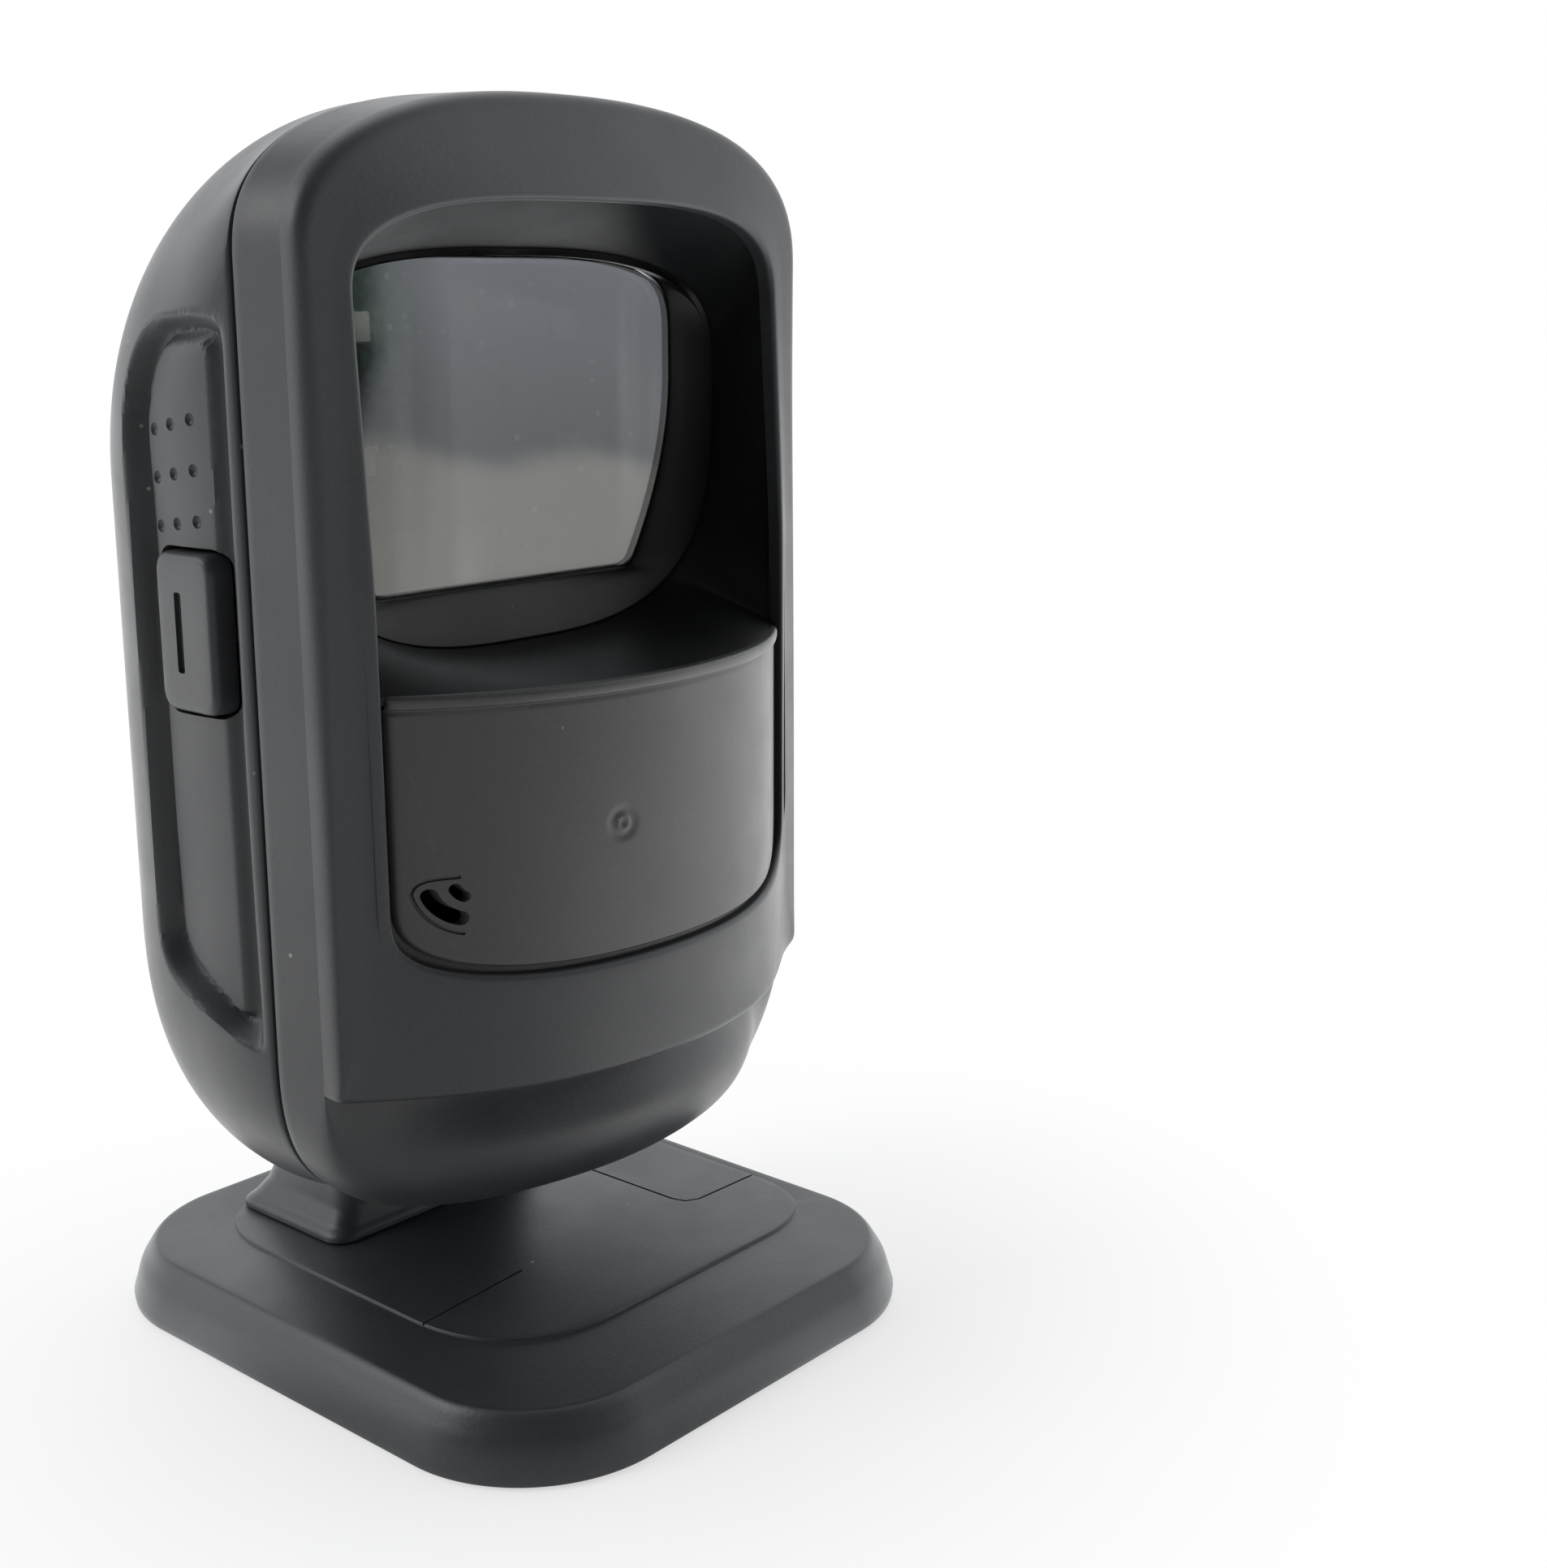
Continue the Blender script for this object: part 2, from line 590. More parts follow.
def front_shell():
    spacing = (even_angles([(OPEN_HALF, *OPEN_TOP_CURVE), (CREASE_HALF, *CREASE_TOP_CURVE),
                            (PART_HALF, *PART_TOP_CURVE)], 84),
               even_angles([(OPEN_HALF, *OPEN_LOW_CURVE), (CREASE_HALF, *CREASE_LOW_CURVE),
                            (PART_HALF, *PART_LOW_CURVE)], 90),
               64)
    opening = outline(OPEN_HALF, (OPEN_TOP - OPEN_TOP_CURVE[0], *OPEN_TOP_CURVE),
                      (OPEN_BOTTOM + OPEN_LOW_CURVE[0], *OPEN_LOW_CURVE), spacing)
    crease = outline(CREASE_HALF, (CREASE_TOP - CREASE_TOP_CURVE[0], *CREASE_TOP_CURVE),
                     (LIP_Z + CREASE_LOW_CURVE[0], *CREASE_LOW_CURVE), spacing)
    part = outline(PART_HALF, (PART_TOP_START, *PART_TOP_CURVE),
                   (PART_LOW_START, *PART_LOW_CURVE), spacing)
    (open_x, open_z), (crease_x, crease_z), (part_x, part_z) = opening.T, crease.T, part.T
    # how far each column belongs to the lip under the face, the cove below it, and the ends
    on_lip = crease_z < LIP_Z + 2.6
    lip = np.where(on_lip, smooth((CREASE_HALF - 0.15 - np.abs(crease_x)) / 9.0), 0.0)
    cove = np.where(on_lip, smooth((CREASE_HALF - 3.0 - np.abs(crease_x)) / 14.0), 0.0)
    near_bottom = smooth((HEAD_BOTTOM + 33 - part_z) / 14)
    near_top = smooth((crease_z - (CREASE_TOP - 17)) / 12.0)

    # the opening's return, its rounded edge and the face out to the crease
    face_y = bow(open_x, open_z)
    return_y = face_y + 2.3 + 1.2 * smooth((SHELF_Z - 0.5 - open_z) / 2.0)
    stations = [(row(open_x, return_y, open_z), 0), (row(open_x, face_y + 0.1, open_z), 0.9)]
    for share in (0.15, 0.3, 0.45):
        x, z = open_x + (crease_x - open_x) * share, open_z + (crease_z - open_z) * share
        stations.append((row(x, bow(x, z), z), 0))
    crease_round = 1.2 + 0.7 * smooth((crease_z - LIP_Z) / 7.0) + 0.2 * near_top
    crease_y = bow(crease_x, crease_z)
    stations.append((row(crease_x, crease_y, crease_z), crease_round))

    # behind the crease, then back to the joint
    under_x = crease_x * (1 - 0.02 * lip) + 0.05 * np.sign(crease_x) * (1 - lip)
    under_y = crease_y + 2.6 + 1.1 * lip
    under_z = crease_z + 0.1 * (1 - lip) - 0.15 * lip
    stations.append((row(under_x, under_y + 3.0 * cove, under_z - 0.3 * cove), 0.02 + 1.0 * lip))
    out_power, up_power = 1 + 0.28 * near_bottom, 1 - 0.42 * near_bottom
    for t in (np.linspace(0.0, 1.0, 40) ** 1.5)[1:-1]:
        angle = math.pi / 2 * t
        out = (1 - math.cos(angle)) ** out_power
        z = under_z + (part_z - under_z) * math.sin(angle) ** up_power
        sunk = 3.0 * cove * (1 - smooth((under_z - z) / 8.5))
        y = under_y + (PART_Y - 0.6 - under_y) * out + sunk
        stations.append((row(under_x + (part_x - under_x) * out, y, z), 0))

    # the rim, then a tongue that reaches behind the rear shell's rim: (inset, y past the joint)
    for inset, y in ((0.0, -0.4), (0.05, -0.16), (0.22, -0.04), (1.2, 0.0), (2.1, 0.0),
                     (2.15, 0.1), (2.15, 1.7)):
        stations.append((part_rim(part, inset, PART_Y + y), 0))
    obj = surface("front_shell_moulding", swept(stations, count=6, most=0.85))
    wall(obj, 1.4)
    place(obj, SHELL, "head", "front_shell")


# ------------------------------------------------------------------ rear shell
# the grips' sunk channel and the raised pad inside it, as (y, z) corners and their roundings
GRIP_OUTER = rounded_polygon(
    [(-4.8, 122.0), (12.9, 121.2), (12.3, 90.0), (11.7, 50.6), (-4.9, 42.6), (-4.6, 70.0)],
    [3.2, 12.0, 8.0, 4.5, 2.6, 8.0])
GRIP_PAD = rounded_polygon(
    [(-0.7, 118.8), (9.6, 118.3), (9.3, 90.0), (9.0, 53.2), (-0.6, 46.6), (-0.5, 80.0)],
    [1.6, 8.5, 6.0, 3.5, 1.3, 6.0])
CHANNEL_DEPTH = 2.7
PAD_DEPTH = 1.75
CHANNEL_SHARE = 0.66  # how far in from the outer edge the channel is deepest

# rows of small dents that give the fingers a hold, as (y, z)
DENTS = ((8.5, 109.6), (5.5, 110.2), (2.3, 110.8),
         (8.4, 104.6), (5.4, 105.1), (2.2, 105.6),
         (8.3, 99.5), (5.3, 99.9), (2.1, 100.3))


def grip_depth(y, z):
    """How deep the shell's side is sunk at (y, z): a channel round a raised pad."""
    points = np.stack([y, z], -1)
    outer = signed_distance(points, GRIP_OUTER)
    from_outer = np.clip(outer, 0, None)
    from_pad = np.clip(-signed_distance(points, GRIP_PAD), 0, None)
    t = np.where(outer > 0, from_outer / np.maximum(from_outer + from_pad, 1e-6), 0.0)
    fall = CHANNEL_DEPTH * smooth(t / CHANNEL_SHARE)
    climb = np.clip((t - CHANNEL_SHARE) / (1 - CHANNEL_SHARE), 0, 1) ** 1.6
    return np.where(t < CHANNEL_SHARE, fall, CHANNEL_DEPTH - (CHANNEL_DEPTH - PAD_DEPTH) * climb)


def rear_half(y):
    """The rear shell's half width at y, before it narrows."""
    share = np.clip((y - PART_Y) / 12.0, 0, 1)
    return PART_HALF + (REAR_HALF - PART_HALF) * (1 - (1 - share) ** 2)


def rear_blend(y):
    """How far the section at y has turned from the joint's outline into the rounder one."""
    return 1 - (1 - float(np.clip((y - PART_Y) / 22.0, 0, 1))) ** 2


def rear_section(y, spacing):
    blend = rear_blend(y)
    top_start, low_start = PART_TOP_START - REAR_TOP_TURN * blend, PART_LOW_START + 7.5 * blend
    top = HEAD_TOP - 0.4 + 0.4 * math.sin(math.pi * blend / 2)
    bottom = SEAM_BOTTOM + (HEAD_BOTTOM - SEAM_BOTTOM) * float(smooth(blend))
    return outline(float(rear_half(y)),
                   (top_start, top - top_start, PART_TOP_CURVE[1] - 0.4 * blend),
                   (low_start, low_start - bottom, PART_LOW_CURVE[1] - 0.7 * blend), spacing)


def rear_scale(y):
    """How much of its full section the rear shell keeps at y."""
    share = (max(y - REAR_CENTRE, 0) / REAR_DEPTH) ** REAR_POWER
    return float(np.clip(1 - share, 0, 1)) ** (1 / REAR_POWER)


def outline_half(y, z):
    """Half width of the rear shell's outer surface at (y, z), before the grip is sunk."""
    blend = rear_blend(y)
    start = PART_TOP_START - REAR_TOP_TURN * blend
    half = float(rear_half(y))
    if z > start:
        power = PART_TOP_CURVE[1] - 0.4 * blend
        height = HEAD_TOP - 0.2 - start
        half *= (1 - ((z - start) / height) ** power) ** (1 / power)
    if y > REAR_CENTRE:
        half *= rear_scale(y)
    return half


def rear_void():
    """The space inside the rear shell."""
    spacing = (even_angles([(REAR_HALF, 44.0, 2.5)], 40),
               even_angles([(REAR_HALF, 37.7, 2.7)], 40), 24)
    rear_end = REAR_CENTRE + REAR_DEPTH - 0.3
    stations = [*np.linspace(PART_Y - 2.0, 14, 12), 17, 20, 22.5, 24.5, 26, 27.2, 28.2, 28.9]
    rows = []
    for y in stations:
        section = rear_section(max(y, PART_Y), spacing)
        scale = rear_scale(min(y + 1.9, rear_end)) if y > REAR_CENTRE - 2 else 1.0
        x = np.clip(section[:, 0] * 0.955 * scale, -35.1, 35.1)
        rows.append(row(x, y, HEAD_MID_Z + (section[:, 1] - HEAD_MID_Z) * 0.971 * scale))
    return surface("rear_void", np.stack(rows), centre=(0, 10, 82), cap_ends=(True, True))


def grip_dents():
    """Balls that cut the dents into both grips."""
    radius, lift = 0.75, 0.30
    bm = bmesh.new()
    for side in (-1, 1):
        for y, z in DENTS:
            half = outline_half(y, z) - float(grip_depth(np.array([y]), np.array([z]))[0])
            ball = bmesh.ops.create_icosphere(bm, subdivisions=3, radius=radius * MM)
            bmesh.ops.translate(bm, verts=ball["verts"],
                                vec=Vector((side * (half + lift), y, z)) * MM)
    return object_from("dents", bm)


def rear_shell():
    spacing = (even_angles([(PART_HALF, *PART_TOP_CURVE), (REAR_HALF, 39.5, 2.2)], 210),
               even_angles([(PART_HALF, *PART_LOW_CURVE), (REAR_HALF, 35.2, 2.5)], 190), 130)
    # the rim at the joint: (inset, y past the joint)
    rows = []
    for inset, y in ((1.2, 0.36), (0.22, 0.38), (0.05, 0.5), (0.0, 0.74)):
        rows.append(part_rim(rear_section(PART_Y + y, spacing), inset, PART_Y + y))
    # even steps in y, then even steps in angle round the back
    turn_y = 13.0
    near = np.linspace(PART_Y + 1.1, turn_y, 47)
    turn_angle = math.asin(((turn_y - REAR_CENTRE) / REAR_DEPTH) ** (REAR_POWER / 2))
    angles = np.linspace(turn_angle, math.pi / 2, 40)[1:]
    far = REAR_CENTRE + REAR_DEPTH * np.sin(angles) ** (2 / REAR_POWER)
    scales = [rear_scale(y) for y in near]
    scales += list(np.clip(np.cos(angles), 0, 1) ** (2 / REAR_POWER))
    for y, scale in zip([*near, *far], scales):
        section = rear_section(y, spacing)
        z = HEAD_MID_Z + (section[:, 1] - HEAD_MID_Z) * scale
        rows.append(row(section[:, 0] * scale, y, z))
    rows = np.stack(rows)

    x, y, z = rows[..., 0], rows[..., 1], rows[..., 2]
    grip = (np.abs(x) > 24) & (y < 14) & (z > 41) & (z < 124)
    sides = rows[grip]
    rows[grip, 0] -= np.sign(sides[:, 0]) * grip_depth(sides[:, 1], sides[:, 2])
    obj = surface("rear_shell_moulding", rows, cap_ends=(True, False))
    cut(obj, rear_void(),
        block("neck_slot_cut", (-17.1, 8.0, HEAD_BOTTOM - 12), (17.1, 40, 37.0), bevel=1.5),
        block("port_cut", (-7.4, 20, 44.4), (7.4, 38, 55.6), bevel=1.0),
        block("trigger_cut", (TRIGGER_X - 6, *(TRIGGER_LO - TRIGGER_GAP)),
              (TRIGGER_X + 6.5, *(TRIGGER_HI + TRIGGER_GAP)), bevel=2.0, segments=5),
        grip_dents())
    place(obj, SHELL, "head", "rear_shell")


# ------------------------------------------------------------------ scan cavity, frame, window
STRAIGHT_STEPS, SIDE_STEPS, LOW_STEPS = 6, 64, 64
SEAM_HALF = 33.4
RIDGE_ANGLE = math.radians(48.0)  # where the seam's side turns into its lower edge
TOP_ANGLES = even_angles([(SEAM_HALF, 12.8, 2.8), (31.2, *OPEN_TOP_CURVE)], 60)[::-1]

WINDOW_HALF = 27.9
WINDOW_LOW_HALF = 18.6
WINDOW_LOW_Z = HEAD_TOP - 54.4


def straight_side(half, z0, z1):
    z = np.linspace(z0, z1, STRAIGHT_STEPS + 1)[1:]
    return np.stack([np.full(STRAIGHT_STEPS, half), z], -1)


def seam_half(shrink):
    """The +X half of the line where the cavity meets the window frame."""
    half = SEAM_HALF - shrink
    top_z, low_z = HEAD_TOP - 29.7, HEAD_TOP - 31.7
    side_angles = np.linspace(0, RIDGE_ANGLE ** 0.6, SIDE_STEPS - STRAIGHT_STEPS + 1)[1:]
    low_angles = np.linspace(RIDGE_ANGLE, math.pi / 2, LOW_STEPS + 1)[1:]
    low_curve = (half, low_z, -(29.2 - shrink), 2.95)
    return np.concatenate([quarter(half, top_z, 13.3 - shrink, 2.8, TOP_ANGLES),
                           straight_side(half, top_z, low_z),
                           quarter(*low_curve, side_angles ** (1 / 0.6)),
                           quarter(*low_curve, low_angles)])


def window_half(grow):
    """The +X half of the window: a rounded top, a side that leans in, a straight lower edge."""
    top_z, side_z = HEAD_TOP - 27.7, HEAD_TOP - 30.7
    top = quarter(WINDOW_HALF, top_z, 10.5, 4.0, TOP_ANGLES)
    share = np.linspace(0, 1, SIDE_STEPS - 11)[1:]
    side = np.stack([WINDOW_HALF - 6.9 * share ** 1.9, side_z - 22.6 * share], -1)
    corner = bend(side[-1], np.array([20.4, HEAD_TOP - 54.3]),
                  np.array([WINDOW_LOW_HALF, WINDOW_LOW_Z]), np.linspace(0, 1, 7)[1:, None])
    low_x = np.linspace(WINDOW_LOW_HALF, 0, LOW_STEPS + 1)[1:]
    low = np.stack([low_x, np.full(LOW_STEPS, WINDOW_LOW_Z)], -1)
    straight = straight_side(WINDOW_HALF, top_z, side_z)
    half = np.concatenate([top, straight, side, corner, low])
    middle = np.array([0.0, HEAD_TOP - 36.0])
    spokes = half - middle
    return middle + spokes * (1 + grow / np.maximum(norm(spokes), 1))


def soften(rows, corner, reach, times):
    """Rounds a loft's corner by averaging the columns near it."""
    out = rows.copy()
    first, last = corner - reach, corner + reach + 1
    for _ in range(times):
        before, after = out[:, first - 1:last - 1], out[:, first + 1:last + 1]
        out[:, first:last] = (before + 2 * out[:, first:last] + after) / 4
    return out


def cavity():
    overlap = 0.5
    half = OPEN_HALF + overlap
    top_height, top_power = OPEN_TOP_CURVE
    top_z = OPEN_TOP - top_height
    top = quarter(half, top_z, top_height + overlap, top_power, TOP_ANGLES)
    side_z = np.linspace(top_z, SHELF_Z, SIDE_STEPS + 1)[1:]
    side = np.stack([np.full(SIDE_STEPS, half), side_z], -1)
    low = np.stack([np.linspace(half, 0, LOW_STEPS + 1)[1:], np.full(LOW_STEPS, SHELF_Z)], -1)
    mouth = np.concatenate([top, side, low])
    # the mouth follows the face, and comes forward over the shelf
    y = bow(mouth[:, 0], mouth[:, 1]) + 2.6
    y[-LOW_STEPS:] = bow(low[:, 0]) + 1.4
    y[len(top):len(top) + SIDE_STEPS] -= 1.2 * smooth((SHELF_Z + 4 - side_z) / 4)
    mouth = row(mouth[:, 0], y, mouth[:, 1])
    seam = seam_half(0.0)
    seam = row(seam[:, 0], SEAM_Y, seam[:, 1])
    rows = [mouth + (seam - mouth) * share for share in np.linspace(0, 1, 30)]
    # its edge runs straight back, past the window frame
    rows.append(row(seam[:, 0], SEAM_Y + 1.6, seam[:, 2]))
    rows = soften(np.stack(rows), corner=len(top) + SIDE_STEPS - 1, reach=3, times=3)
    obj = surface("scan_cavity", mirrored(rows), centre=(0, -12, 106), away=False)
    wall(obj, 1.1)
    place(obj, CAVITY, "head", "front_insert")


def scaled_ring(line, y, scale, middle_z):
    """An (x, z) line at the given y, scaled about (0, middle_z)."""
    return row(line[:, 0] * scale, y, middle_z + (line[:, 1] - middle_z) * scale)


def window_frame():
    seam, window = mirrored(seam_half(0.16)), mirrored(window_half(0.12))

    def ring(line, depth, scale=1.0):
        return scaled_ring(line, SEAM_Y + depth, scale, HEAD_TOP - 37)

    stations = [(ring(seam, 1.5, 1.004), 0), (ring(seam, 0.10, 1.004), 0.35)]
    for share in (0.3, 0.6, 0.9):
        stations.append((ring(seam + (window - seam) * share, 0.12 + 2.1 * share), 0))
    stations += [(ring(window, 2.4), 0.3), (ring(window, 3.6), 0)]
    rows = swept(stations, count=5)
    obj = surface("window_bezel", rows, centre=(0, -60, 106), away=False)
    wall(obj, 0.8)
    place(obj, BLACK, "head", "window_frame")


# the pane from its front's middle, round its edge, to its back's middle: (scale, depth)
PANE_STATIONS = ((0.02, 0), (0.4, 0), (0.75, 0), (0.95, 0), (0.978, 0), (0.985, 0.05),
                 (0.993, 0.16), (1.0, 0.4), (1.0, 1.3), (0.95, 1.3), (0.5, 1.3), (0.02, 1.3))


def scan_window():
    line = mirrored(window_half(-0.05))
    middle_z = HEAD_TOP - 36
    front_y = SEAM_Y + 2.15
    rows = [scaled_ring(line, front_y + depth, scale, middle_z) for scale, depth in PANE_STATIONS]
    obj = surface("scan_window_pane", np.stack(rows), centre=(0, front_y + 0.7, middle_z),
                  cap_ends=(True, True), sharp=50)
    place(obj, GLASS, "head", "scan_window")


# ------------------------------------------------------------------ lower panel with shelf's lip
PANEL_HALF = OPEN_HALF - 0.85
PANEL_LOW = OPEN_BOTTOM + 0.75
PANEL_ROUND = OPEN_LOW_CURVE[0]
SLOTS_X, RIM_X, SLOTS_Z = -23.9, -23.6, SHELF_Z - 20.2
GATE_X, GATE_Z = -7.3, SHELF_Z - 16.0


def panel_y(x):
    return bow(x) + 0.6 + 0.7 * (np.abs(x) / 31.0) ** 4


def panel_low(x):
    """The height of the panel's lower edge."""
    across = np.clip(np.abs(x) / PANEL_HALF, 0, 1)
    return PANEL_LOW + PANEL_ROUND * (1 - (1 - across ** 4) ** 0.25)


def quarter_round(share):
    """How much of its radius an edge falls back, at a share of that radius inwards."""
    return 1 - np.sqrt(np.clip(1 - (1 - share) ** 2, 0, 1))


def panel_lip(x):
    end_radius = 1.2
    end = np.clip((PANEL_HALF - np.abs(x)) / end_radius, 0, 1)
    end_roll = end_radius * quarter_round(end)
    nose = bow(x) + 0.8 * (np.abs(x) / 31.0) ** 6 + end_roll * 0.6
    return swept([(row(x, nose + 1.35, SHELF_Z + 0.02), 0),
                  (row(x, nose, SHELF_Z + 0.05), 0.6),
                  (row(x, nose, SHELF_Z - 1.25), 0.6),
                  (row(x, nose + 0.75, SHELF_Z - 1.5), 0.15),
                  (row(x, np.maximum(panel_y(x), nose + 0.65), SHELF_Z - 2.1), 0)], count=7)


def lower_panel():
    x = PANEL_HALF * np.sin(np.linspace(-math.pi / 2, math.pi / 2, 301))
    low = panel_low(x)
    rows = list(panel_lip(x)[:-1])
    for share in np.linspace(0, 1, 118):
        z = SHELF_Z - 2.0 + (low - SHELF_Z + 2.0) * share
        # the edge rolls back, by the distance to the outline (1 where reach is 1)
        across = np.abs(x) / PANEL_HALF
        down = np.clip((PANEL_LOW + PANEL_ROUND - z) / PANEL_ROUND, 0, 1)
        reach = np.maximum((across ** 4 + down ** 4) ** 0.25, 1e-6)
        slope = np.hypot((across / reach) ** 3 / PANEL_HALF, (down / reach) ** 3 / PANEL_ROUND)
        radius = 0.30 + 0.45 * (across / reach) ** 8
        inside = np.clip((1 - reach) / np.maximum(slope, 1e-6) / radius, 0, 1)
        y = np.maximum(panel_y(x), bow(x) + 0.55) + radius * quarter_round(inside)
        # gate mark: a raised ring in a shallow dish
        from_gate = np.hypot(x - GATE_X, z - GATE_Z)
        dish = 0.2 * np.exp(-(from_gate / 1.9) ** 8)
        y = y + dish - 0.26 * np.exp(-((from_gate - 0.72) / 0.34) ** 2)
        rows.append(row(x, y, z))
    obj = surface("lower_panel", np.stack(rows), closed=False, centre=(0, 60, 68))
    wall(obj, 1.2)
    panel_channel()
    cut(obj, arc_cutter("slot_a", inner=3.3, outer=4.9, degrees=(198, 252)),
        arc_cutter("slot_b", inner=1.15, outer=2.4, degrees=(203, 240)),
        rim_cutter("speaker_rim", width=0.36))
    place(obj, PANEL, "head", "front_insert")


def panel_channel():
    """The floor of the narrow channel round the panel."""
    angles = np.linspace(0.0, math.pi / 2, 90)
    curve = quarter(PANEL_HALF, PANEL_LOW + PANEL_ROUND, -PANEL_ROUND, 4.0, angles)
    side_z = np.linspace(SHELF_Z - 1.0, PANEL_LOW + 10.8, 30)
    rim = np.concatenate([np.stack([np.full(30, PANEL_HALF), side_z], -1), curve])
    rim = np.concatenate([rim, (rim * [-1, 1])[::-1][1:]])
    half_height = 16.0
    middle = np.array([0.0, PANEL_LOW + half_height])
    rows = []
    for grow, depth in ((-1.6, 1.6), (-0.9, 1.5), (-0.1, 1.1), (0.4, 0.95), (1.1, 0.95)):
        line = middle + (rim - middle) * (1 + grow / np.array([PANEL_HALF, half_height]))
        x, z = line.T
        rows.append(row(x, np.minimum(panel_y(x) + depth, bow(x) + 3.2), z))
    channel = surface("panel_channel", np.stack(rows), closed=False, centre=(0, 60, 68))
    wall(channel, 0.8)
    place(channel, PANEL, "head", "front_insert")


def panel_cutter(name, loop, depth):
    """A cutter through an (x, z) loop, whose floor follows the panel at the given depth."""
    x, z = loop[:, 0], loop[:, 1]
    rows = np.stack([row(x, -45.0, z), row(x, panel_y(x) + depth, z)])
    return surface(name, rows, centre=(float(x.mean()), -30, float(z.mean())),
                   cap_ends=(True, True))


def arc_cutter(name, inner, outer, degrees):
    """A curved slot with rounded ends, between two radii."""
    middle, half = (inner + outer) / 2, (outer - inner) / 2
    angles = np.radians(np.linspace(*degrees, 28))

    def arc(radius, along):
        return [(SLOTS_X + radius * math.cos(a), SLOTS_Z + radius * math.sin(a)) for a in along]

    def round_end(angle, side):
        x, z = arc(middle, [angle])[0]
        return [(x + side * half * math.cos(angle + t), z + side * half * math.sin(angle + t))
                for t in np.linspace(0.3, math.pi - 0.3, 7)]

    loop = arc(outer, angles) + round_end(angles[-1], 1)
    loop += arc(inner, angles[::-1]) + round_end(angles[0], -1)
    return panel_cutter(name, np.array(loop), depth=3.0)


def rim_cutter(name, width):
    """The thin line round the slots: an arc that ends in a short straight edge above them."""
    radius = 5.8
    path = [(RIM_X + radius * math.cos(math.radians(a)), SLOTS_Z + radius * math.sin(math.radians(a)))
            for a in np.linspace(258, 190, 24)]
    path += [(RIM_X + x, SLOTS_Z + z) for x, z in
             ((-5.5, -0.35), (-5.05, 0.1), (-4.3, 0.4), (-3.2, 0.55), (-1.4, 0.6))]
    path = np.array(path)
    ahead = np.gradient(path, axis=0)
    ahead /= norm(ahead)
    side = np.stack([-ahead[:, 1], ahead[:, 0]], -1) * width / 2
    return panel_cutter(name, np.concatenate([path + side, (path - side)[::-1]]), depth=0.4)


# ------------------------------------------------------------------ trigger
# from its inner edge to its flat outer face: (inset, depth behind the face, rounding)
TRIGGER_STATIONS = ((0.35, 3.2, 0), (0.0, 3.0, 0), (0.12, 0.05, 1.0),
                    (1.6, -0.02, 0), (3.0, 0, 0), (4.6, 0, 0))


def trigger():
    (y0, z0), (y1, z1) = TRIGGER_LO, TRIGGER_HI
    corners = [(y0, z0), (y1, z0), (y1, z1), (y0, z1)]
    ring = resample(rounded_polygon(corners, [2.2] * 4, steps=12), 220)
    middle_y, middle_z = (y0 + y1) / 2, (z0 + z1) / 2
    half_y, half_z = (y1 - y0) / 2, (z1 - z0) / 2
    stations = []
    for inset, depth, rounding in TRIGGER_STATIONS:
        y = middle_y + (ring[:, 0] - middle_y) * (1 - inset / half_y)
        z = middle_z + (ring[:, 1] - middle_z) * (1 - inset / half_z)
        stations.append((row(TRIGGER_X + depth, y, z), rounding))
    obj = surface("trigger_paddle", swept(stations, count=9),
                  centre=(TRIGGER_X + 1.5, middle_y, middle_z), cap_ends=(True, True), sharp=50)
    # an upright bar sunk into its face
    bar = block("bar_cut", (TRIGGER_X - 2, middle_y + 0.25, middle_z - 4.3),
                (TRIGGER_X + 0.75, middle_y + 1.45, middle_z + 4.3), bevel=0.3, segments=3)
    cut(obj, bar, sharp=42)
    place(obj, SHELL, "trigger", "trigger_button")


# ------------------------------------------------------------------ foot and neck
FOOT_STEPS = 480
FOOT_CORNER = 17.5
FOOT_TOP = foot_hi[2]
PLATEAU_MIDDLE = np.array([3.5, 3.0])
# the raised area of the foot's top, set off centre towards +X and +Y
PLATEAU = rounded_polygon([(31.9, 33.0), (-24.2, 33.0), (-24.2, -25.7), (31.9, -25.6)],
                          [14, 14, 17.0, 13.0], steps=40)


def foot_ring(inset, z, count=FOOT_STEPS):
    half_x, half_y = foot_hi[0] - inset, foot_hi[1] - inset
    radius = max(FOOT_CORNER - inset, 2.0)
    angles = np.linspace(0, 2 * math.pi, 4001)[:-1]
    quadrant = np.floor(angles / (math.pi / 2)).astype(int)
    side_x = np.array([1, -1, -1, 1])[quadrant]
    side_y = np.array([1, 1, -1, -1])[quadrant]
    line = np.stack([side_x * (half_x - radius) + radius * np.cos(angles),
                     side_y * (half_y - radius) + radius * np.sin(angles)], -1)
    return np.concatenate([resample(line, count), np.full((count, 1), z)], -1)


def plateau_ring(shrink, z):
    """The plateau's outline, drawn in, with its points at the angles of the foot's own ring."""
    spokes = PLATEAU - PLATEAU_MIDDLE
    line = resample(PLATEAU_MIDDLE + spokes * (1 - shrink / norm(spokes)), 2400)

    def angles_of(points):
        return np.arctan2(points[:, 1] - PLATEAU_MIDDLE[1], points[:, 0] - PLATEAU_MIDDLE[0])

    angles, wanted = angles_of(line), angles_of(foot_ring(0, 0))
    order = np.argsort(angles)
    x, y = (np.interp(wanted, angles[order], line[order, axis], period=2 * math.pi)
            for axis in (0, 1))
    return row(x, y, z)


